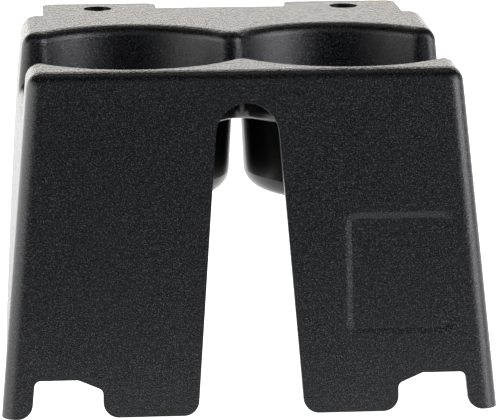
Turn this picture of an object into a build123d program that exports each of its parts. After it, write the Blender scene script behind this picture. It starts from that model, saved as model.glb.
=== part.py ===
from build123d import *
import os
from math import cos, radians, sin, tan

# Two-cup holder for a car console, formed from one plastic sheet and trimmed.
# X runs across the car, Y from the front apron to the rear screw tabs, Z up.
# The origin is on the floor under the middle of the part.

# Sheet and main form
wall = 3.0
deck_height = 131.6
side_draft = 5.6
side_flare = 1.26
apron_lean = 10.5
edge_radius = 6.2
rim_ease = 1.6

# Two cups side by side, each in a wide shallow well that opens through the side between two rounded posts
cup_bore = 75.6
cup_gap = 9.4
cup_depth = 55.6
cup_draft = 3.0
cup_floor_radius = 5.0
cup_mouth_radius = 3.0
well_shelf = 10.2
well_depth = 22.8
well_draft = 3.0
well_floor_radius = 3.0
opening_cut = 5.7
opening_extra = 15.5
post_radius = 6.5

# Deck in front of the wells and behind them, and the screw tabs on the rear ledge
front_land = 10.3
rear_land = 28.0
ledge_step = 16.9
ledge_radius = 9.0
tab_length = 12.8
tab_width = 49.8
tab_inset = 31.35
tab_radius = 5.0
hole_diameter = 12.3
hole_inset = 13.7
hole_shift = 0.9

# Trimmed lower edge of the side walls, as reach behind the cup line and drop below the deck
foot_depth = 7.0
toe_drop = 108.0
heel_reach = -42.0
heel_drop = 101.5
knee_reach = 19.0
knee_drop = 68.0
rear_drop = 17.0
toe_radius = 6.0
heel_radius = 25.0
knee_radius = 60.0

# Slot between the two legs of the apron
slot_arch_radius = 12.4
slot_top = 121.3
slot_foot_width = 41.7

# Notch in the foot of each leg
outer_leg = 11.5
notch_width = 27.9
notch_height = 14.9
notch_ramp_width = 9.6
notch_ramp_drop = 4.1
notch_radius = 2.5
foot_radius = 6.0

# Shallow recess on the right leg
panel_width = 42.6
panel_height = 47.8
panel_offset = 59.1
panel_level = 54.2
panel_radius = 4.5
panel_slope = 2.4
panel_sink = 0.5

# Derived places
overrun = 10.0
touch = 0.01
cup_spacing = cup_bore + cup_gap
well_bore = cup_bore + 2 * well_shelf
opening_width = well_bore / 2 + opening_extra
deck_width = cup_spacing + well_bore - 2 * opening_cut
apron_reach = well_bore / 2 + front_land
corner_reach = well_bore / 2 + rear_land
ledge_reach = corner_reach + ledge_step
tab_reach = ledge_reach + tab_length
apron_run = deck_height * tan(radians(apron_lean))
cup_line = (apron_reach + apron_run - tab_reach) / 2
apron_top = cup_line - apron_reach
apron_foot = apron_top - apron_run
corner_line = cup_line + corner_reach
ledge_line = cup_line + ledge_reach
tab_end = cup_line + tab_reach
rear_end = tab_end + 2 * overrun
tab_spacing = deck_width - 2 * tab_inset
hole_spacing = tab_spacing + 2 * hole_shift
side_slope = tan(radians(side_draft))
flare_slope = tan(radians(side_flare))
corner_width = deck_width + 2 * flare_slope * (corner_line - apron_top)
block_width = deck_width + 2 * side_slope * deck_height + 2 * flare_slope * (tab_end - apron_top)
notch_outer = deck_width / 2 + side_slope * deck_height - flare_slope * apron_run - outer_leg
notch_inner = notch_outer - notch_width
rim_radius = edge_radius - rim_ease
apron_plane = Plane(
    origin=(0, apron_foot, 0),
    x_dir=(1, 0, 0),
    z_dir=(0, -cos(radians(apron_lean)), sin(radians(apron_lean))),
)


def side_plane(side, inset):
    outward = Vector(side, -flare_slope, side_slope).normalized()
    corner = Vector(side * deck_width / 2, apron_top, deck_height)
    return Plane(origin=corner - outward * inset, z_dir=outward)


def formed_block(inset):
    # The block under the sheet: leaning front, drafted sides, rounded front and upper edges
    front_shift = inset / cos(radians(apron_lean))
    front_drop = overrun * tan(radians(apron_lean))
    with BuildPart() as block:
        with BuildSketch(Plane.YZ):
            with BuildLine():
                Polyline(
                    (apron_top + front_shift, deck_height),
                    (apron_foot - front_drop + front_shift, -overrun),
                    (tab_end + overrun, -overrun),
                    (tab_end + overrun, deck_height),
                    close=True,
                )
            make_face()
        extrude(amount=block_width, both=True)
        for side in (-1, 1):
            split(bisect_by=side_plane(side, inset), keep=Keep.BOTTOM)
        split(bisect_by=Plane.XY.offset(deck_height - inset), keep=Keep.BOTTOM)
        front_face = block.faces().filter_by(Axis.Y, reverse=True).sort_by(Axis.Y)[0]
        corners = front_face.edges().filter_by(Axis.X, reverse=True)
        deck = block.faces().sort_by(Axis.Z)[-1]
        deck_edges = deck.edges().filter_by(lambda edge: edge.center().Y < tab_end)
        fillet(corners + deck_edges, edge_radius - inset)
    return block.part


def beside_opening(corner):
    return cup_spacing / 2 < abs(corner.X) < block_width


def well_form(growth):
    # Both wells and cups as one solid, grown by the sheet where it is the back of the walls
    with BuildPart() as wells:
        with BuildSketch(Plane.XY.offset(deck_height)) as well_plan:
            with Locations((0, cup_line)):
                with GridLocations(cup_spacing, 0, 2, 1):
                    Circle(well_bore / 2 + growth)
                with GridLocations(2 * block_width, 0, 2, 1):
                    Rectangle(2 * block_width - cup_spacing, opening_width + 2 * growth)
            ridges = well_plan.vertices().filter_by(lambda corner: abs(corner.X) < touch)
            fillet(ridges, edge_radius - growth)
            posts = well_plan.vertices().filter_by(beside_opening)
            fillet(posts, post_radius - growth)
        extrude(amount=-well_depth - growth, taper=well_draft)
        well_floor = wells.faces().sort_by(Axis.Z)[0]
        fillet(well_floor.edges(), well_floor_radius + growth)
        with BuildSketch(Plane.XY.offset(deck_height - well_depth - growth)):
            with Locations((0, cup_line)):
                with GridLocations(cup_spacing, 0, 2, 1):
                    Circle(cup_bore / 2 + growth)
        extrude(amount=well_depth - cup_depth, taper=cup_draft)
        cup_floors = wells.faces().sort_by(Axis.Z)[:2]
        fillet(cup_floors.edges(), cup_floor_radius + growth)
    return wells.part


block = formed_block(0)
wells = well_form(0)
block_skin = block.shell()
well_skin = wells.shell()


def on_rim(edge):
    middle = edge @ 0.5
    return block_skin.distance_to(middle) < touch and well_skin.distance_to(middle) < touch


# The space under the sheet
well_walls = well_form(wall)
with BuildPart() as hollow:
    add(formed_block(wall))
    add(well_walls, mode=Mode.SUBTRACT)

# Waste below the trimmed edge of the side walls
apron_slope = apron_run / deck_height
toe_height = deck_height - toe_drop
rear_slope = (knee_drop - rear_drop) / (corner_reach - knee_reach)
with BuildPart() as side_waste:
    with BuildSketch(Plane.YZ):
        with BuildLine():
            trimmed_edge = FilletPolyline(
                (apron_foot + foot_depth - overrun * apron_slope, -overrun),
                (apron_foot + foot_depth + toe_height * apron_slope, toe_height),
                (cup_line + heel_reach, deck_height - heel_drop),
                (cup_line + knee_reach, deck_height - knee_drop),
                (corner_line + overrun, deck_height - rear_drop + overrun * rear_slope),
                radius=[toe_radius, heel_radius, knee_radius],
            )
            Polyline(trimmed_edge @ 1, (rear_end, deck_height), (rear_end, -overrun), trimmed_edge @ 0)
        make_face()
    extrude(amount=block_width, both=True)
    add(well_walls, mode=Mode.SUBTRACT)

# Waste round the rear edge of the ledge, the screw tabs and the rounded corners beside them
to_front = (Align.CENTER, Align.MAX)
waste_length = rear_end - corner_line + ledge_radius
with BuildPart() as rear_waste:
    with BuildSketch(Plane.XY.offset(deck_height)):
        with Locations((0, rear_end)):
            Rectangle(2 * block_width, waste_length, align=to_front)
        with Locations((0, corner_line)):
            RectangleRounded(corner_width, tab_reach, ledge_radius, align=to_front, mode=Mode.SUBTRACT)
        with Locations((0, ledge_line)):
            Rectangle(tab_spacing, tab_reach, align=to_front, mode=Mode.SUBTRACT)
        with Locations((-tab_spacing / 2, tab_end), (tab_spacing / 2, tab_end)):
            RectangleRounded(tab_width, tab_reach, tab_radius, align=to_front, mode=Mode.SUBTRACT)
    extrude(amount=deck_height, both=True)

# Waste of the slot between the legs and of the notches in their feet
with BuildPart() as apron_waste:
    with BuildSketch(apron_plane) as apron_trim:
        with BuildLine():
            CenterArc((0, slot_top - slot_arch_radius), slot_arch_radius, 0, 360)
            Line((-slot_foot_width / 2, 0), (slot_foot_width / 2, 0))
        make_hull()
        for side in (-1, 1):
            with BuildLine():
                notch = FilletPolyline(
                    (side * notch_outer, 0),
                    (side * (notch_outer - notch_height * side_slope), notch_height),
                    (side * (notch_inner + notch_ramp_width), notch_height),
                    (side * notch_inner, notch_height - notch_ramp_drop),
                    (side * notch_inner, 0),
                    radius=notch_radius,
                )
                Line(notch @ 0, notch @ 1)
            make_face()
        Rectangle(block_width, overrun, align=to_front)
        feet = []
        for corner in apron_trim.vertices():
            if abs(corner.Y) < touch and abs(corner.X) < block_width / 2 - touch:
                feet.append(corner)
        fillet(feet, foot_radius)
    extrude(amount=-2 * wall)

with BuildPart() as cup_holder:
    add(block)
    add(wells, mode=Mode.SUBTRACT)
    rim = cup_holder.edges().filter_by(on_rim)
    fillet(rim, rim_radius)
    cup_mouths = cup_holder.edges().filter_by(GeomType.CIRCLE).filter_by(Plane.XY)
    cup_mouths = cup_mouths.filter_by(lambda edge: abs(edge.radius - cup_bore / 2) < touch)
    fillet(cup_mouths, cup_mouth_radius)
    add(hollow.part, mode=Mode.SUBTRACT)
    add(side_waste.part, mode=Mode.SUBTRACT)
    add(rear_waste.part, mode=Mode.SUBTRACT)
    add(apron_waste.part, mode=Mode.SUBTRACT)
    split(bisect_by=Plane.XY, keep=Keep.TOP)
    with BuildSketch(Plane.XY.offset(deck_height)):
        with Locations((0, tab_end - hole_inset)):
            with GridLocations(hole_spacing, 0, 2, 1):
                Circle(hole_diameter / 2)
    extrude(amount=-2 * wall, mode=Mode.SUBTRACT)
    for inset, sink in ((0, 0), (panel_slope, panel_sink)):
        with BuildSketch(apron_plane.offset(-sink)):
            with Locations((panel_offset, panel_level)):
                RectangleRounded(panel_width - 2 * inset, panel_height - 2 * inset, panel_radius - inset)
    loft(mode=Mode.SUBTRACT)

os.makedirs("parts", exist_ok=True)
cup_holder.part.label = "cup_holder"
export_step(cup_holder.part, "parts/cup_holder.step")
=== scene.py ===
import bpy
from math import cos, pi, radians, sin
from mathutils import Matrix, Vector

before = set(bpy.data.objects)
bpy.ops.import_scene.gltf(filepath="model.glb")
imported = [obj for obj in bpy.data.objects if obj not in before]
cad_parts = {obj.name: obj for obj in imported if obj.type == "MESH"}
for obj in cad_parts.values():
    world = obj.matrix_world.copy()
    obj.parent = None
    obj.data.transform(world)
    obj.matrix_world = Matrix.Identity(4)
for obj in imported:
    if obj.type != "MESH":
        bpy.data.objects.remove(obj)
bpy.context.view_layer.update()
print("frame loaded", list(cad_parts))

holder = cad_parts["cup_holder"]


# node helpers

def addNode(tree, kind, **values):
    node = tree.nodes.new(kind)
    for name, value in values.items():
        setattr(node, name, value)
    return node


def setInputs(node, values):
    for name, value in values.items():
        node.inputs[name].default_value = value


def wire(tree, source, target):
    tree.links.new(source, target)


def mathNode(tree, operation, first, second=None):
    node = addNode(tree, "ShaderNodeMath", operation=operation)
    for socket, value in zip(node.inputs, (first, second)):
        if value is None:
            continue
        if isinstance(value, (int, float)):
            socket.default_value = value
        else:
            wire(tree, value, socket)
    return node.outputs[0]


# black plastic: pebbled on the show side, smooth on the back and on cut edges

plastic = {
    "tint": (0.0024, 0.0024, 0.0026, 1.0),
    # pale colour painted on the pebble tops as glints of light
    "paintedGlintColour": (0.0540, 0.0560, 0.0670, 1.0),
    "refraction": 1.5,
    "roughness": 0.24,
    "topRoughness": 0.15,
    "backRoughness": 0.25,
    "grainSize": 0.00040,
    "grainDetail": 1.0,
    "grainFalloff": 0.6,
    "grainDepth": 0.00015,
    "grainTops": (0.53, 0.74),
    "deckGrainSize": 0.00095,
    "deckGrainDepth": 0.00180,
    "deckTilt": (0.80, 0.97),
    "showTilt": -0.035,
    "cutTilt": 0.005,
}


def makePlastic():
    material = bpy.data.materials.new("grained_black_plastic")
    material.use_nodes = True
    tree = material.node_tree
    shader = tree.nodes["Principled BSDF"]
    setInputs(shader, {"IOR": plastic["refraction"]})
    coordinates = addNode(tree, "ShaderNodeTexCoord")
    place = coordinates.outputs["Object"]

    # show faces lean up or barely down, backs lean further down, upright faces are cut edges
    facing = addNode(tree, "ShaderNodeSeparateXYZ")
    wire(tree, coordinates.outputs["Normal"], facing.inputs[0])
    upward = facing.outputs["Z"]
    tilted = mathNode(tree, "GREATER_THAN", upward, plastic["showTilt"])
    lean = mathNode(tree, "ABSOLUTE", upward)
    uncut = mathNode(tree, "GREATER_THAN", lean, plastic["cutTilt"])
    shown = mathNode(tree, "MULTIPLY", tilted, uncut)

    # fine pebbles, with tops that are smoother than the valleys between them and painted
    # paler as glints of light
    grain = addNode(tree, "ShaderNodeTexNoise")
    setInputs(grain, {
        "Scale": 1 / plastic["grainSize"],
        "Detail": plastic["grainDetail"],
        "Roughness": plastic["grainFalloff"],
    })
    wire(tree, place, grain.inputs["Vector"])
    topsLow, topsHigh = plastic["grainTops"]
    tops = addNode(tree, "ShaderNodeMapRange", interpolation_type="SMOOTHSTEP")
    setInputs(tops, {"From Min": topsLow, "From Max": topsHigh})
    wire(tree, grain.outputs["Fac"], tops.inputs["Value"])
    bump = addNode(tree, "ShaderNodeBump")
    setInputs(bump, {"Distance": plastic["grainDepth"]})
    wire(tree, shown, bump.inputs["Strength"])
    wire(tree, grain.outputs["Fac"], bump.inputs["Height"])

    # the deck is seen at a low angle and takes a coarser, deeper grain to look as speckled
    deckLow, deckHigh = plastic["deckTilt"]
    flat = addNode(tree, "ShaderNodeMapRange")
    setInputs(flat, {"From Min": deckLow, "From Max": deckHigh})
    wire(tree, upward, flat.inputs["Value"])
    deckGrain = addNode(tree, "ShaderNodeTexNoise")
    setInputs(deckGrain, {
        "Scale": 1 / plastic["deckGrainSize"],
        "Detail": plastic["grainDetail"],
    })
    wire(tree, place, deckGrain.inputs["Vector"])
    deckBump = addNode(tree, "ShaderNodeBump")
    setInputs(deckBump, {"Distance": plastic["deckGrainDepth"]})
    wire(tree, flat.outputs["Result"], deckBump.inputs["Strength"])
    wire(tree, deckGrain.outputs["Fac"], deckBump.inputs["Height"])
    wire(tree, bump.outputs["Normal"], deckBump.inputs["Normal"])
    wire(tree, deckBump.outputs["Normal"], shader.inputs["Normal"])

    # colour and roughness of tops, valleys and back: the pale colour on the tops is a
    # painted glint, the smoother tops are the grain's own
    shownTops = mathNode(tree, "MULTIPLY", tops.outputs["Result"], shown)
    # painted glints: shown pebble tops are mixed towards the pale colour
    tint = addNode(tree, "ShaderNodeMix", data_type="RGBA")
    setInputs(tint, {"A": plastic["tint"], "B": plastic["paintedGlintColour"]})
    wire(tree, shownTops, tint.inputs["Factor"])
    wire(tree, tint.outputs["Result"], shader.inputs["Base Color"])
    showChange = plastic["roughness"] - plastic["backRoughness"]
    topChange = plastic["topRoughness"] - plastic["roughness"]
    showPart = mathNode(tree, "MULTIPLY", shown, showChange)
    topPart = mathNode(tree, "MULTIPLY", shownTops, topChange)
    change = mathNode(tree, "ADD", showPart, topPart)
    rough = mathNode(tree, "ADD", change, plastic["backRoughness"])
    wire(tree, rough, shader.inputs["Roughness"])
    return material


for slot in holder.material_slots:
    slot.material = makePlastic()
print("plastic made")


# pale floor that glows, less so towards the front

studioFloor = {
    "size": 12.0,
    "drop": 0.0005,
    "colour": (0.85, 0.85, 0.85, 1.0),
    "roughness": 0.9,
    "glowColour": (1.0, 1.0, 1.0, 1.0),
    "glow": 1.2,
    "frontGlow": 0.05,
    "glowFrom": -0.14,
    "glowTo": -0.45,
}


def makeFloor():
    bpy.ops.mesh.primitive_plane_add(
        size=studioFloor["size"], location=(0, 0, -studioFloor["drop"]))
    floor = bpy.context.active_object
    floor.name = "floor"
    material = bpy.data.materials.new("pale_floor")
    material.use_nodes = True
    tree = material.node_tree
    shader = tree.nodes["Principled BSDF"]
    setInputs(shader, {
        "Base Color": studioFloor["colour"],
        "Roughness": studioFloor["roughness"],
        "Emission Color": studioFloor["glowColour"],
    })
    parts = addNode(tree, "ShaderNodeSeparateXYZ")
    coordinates = addNode(tree, "ShaderNodeTexCoord")
    wire(tree, coordinates.outputs["Object"], parts.inputs[0])
    glow = addNode(tree, "ShaderNodeMapRange", interpolation_type="SMOOTHSTEP")
    setInputs(glow, {
        "From Min": studioFloor["glowTo"],
        "From Max": studioFloor["glowFrom"],
        "To Min": studioFloor["frontGlow"],
        "To Max": studioFloor["glow"],
    })
    wire(tree, parts.outputs["Y"], glow.inputs["Value"])
    wire(tree, glow.outputs["Result"], shader.inputs["Emission Strength"])
    floor.data.materials.append(material)


# soft lights: azimuth from the front and positive to the right, glow as radiance

aimHeight = 0.08
softboxes = {
    "front_fill": {
        "azimuth": 0, "elevation": 31, "distance": 2.0,
        "width": 2.6, "height": 0.55, "glow": 0.85, "colour": (0.90, 0.94, 1.0),
    },
    "back_low": {
        "azimuth": 180, "elevation": 14, "distance": 2.2,
        "width": 4.4, "height": 1.2, "glow": 2.4, "colour": (1.0, 0.97, 0.93),
    },
    "back_top": {
        "azimuth": 180, "elevation": 62, "distance": 2.2,
        "width": 2.4, "height": 1.6, "glow": 0.55, "colour": (1.0, 0.95, 0.90),
    },
    "right_strip": {
        "azimuth": 60, "elevation": 14, "distance": 1.6,
        "width": 0.86, "height": 0.8, "glow": 9.0, "colour": (0.95, 0.95, 1.0),
    },
    "left_strip": {
        "azimuth": -88, "elevation": 10, "distance": 1.6,
        "width": 3.2, "height": 0.56, "glow": 3.8, "colour": (1.0, 1.0, 1.0),
    },
}


def addSoftbox(name, box):
    angle = radians(box["azimuth"])
    rise = radians(box["elevation"])
    outward = Vector((sin(angle) * cos(rise), -cos(angle) * cos(rise), sin(rise)))
    data = bpy.data.lights.new(name, "AREA")
    data.shape = "RECTANGLE"
    data.size = box["width"]
    data.size_y = box["height"]
    data.energy = box["glow"] * pi * box["width"] * box["height"]
    data.color = box["colour"]
    light = bpy.data.objects.new(name, data)
    bpy.context.collection.objects.link(light)
    light.location = outward * box["distance"] + Vector((0, 0, aimHeight))
    light.rotation_mode = "QUATERNION"
    light.rotation_quaternion = (-outward).to_track_quat("-Z", "Y")


# faint light from all round

air = {"colour": (0.5, 0.5, 0.5, 1.0), "strength": 0.03}


def makeAir():
    world = bpy.data.worlds.new("studio_air")
    bpy.context.scene.world = world
    world.use_nodes = True
    background = world.node_tree.nodes["Background"]
    setInputs(background, {"Color": air["colour"], "Strength": air["strength"]})


makeFloor()
for name, box in softboxes.items():
    addSoftbox(name, box)
makeAir()
bpy.context.scene.view_settings.view_transform = "Standard"
print("studio lit")


# camera at the photograph's angle

shot = {
    "place": (-0.0797, -1.0971, 0.32914),
    "turn": (76.208, 0.0, -4.5008),
    "lens": 194.68,
    "sensor": 36.0,
    "clipEnd": 50.0,
}
cameraData = bpy.data.cameras.new("camera")
cameraData.lens = shot["lens"]
cameraData.sensor_width = shot["sensor"]
cameraData.clip_end = shot["clipEnd"]
camera = bpy.data.objects.new("camera", cameraData)
bpy.context.collection.objects.link(camera)
camera.location = shot["place"]
camera.rotation_euler = [radians(angle) for angle in shot["turn"]]
bpy.context.scene.camera = camera
print("camera set")
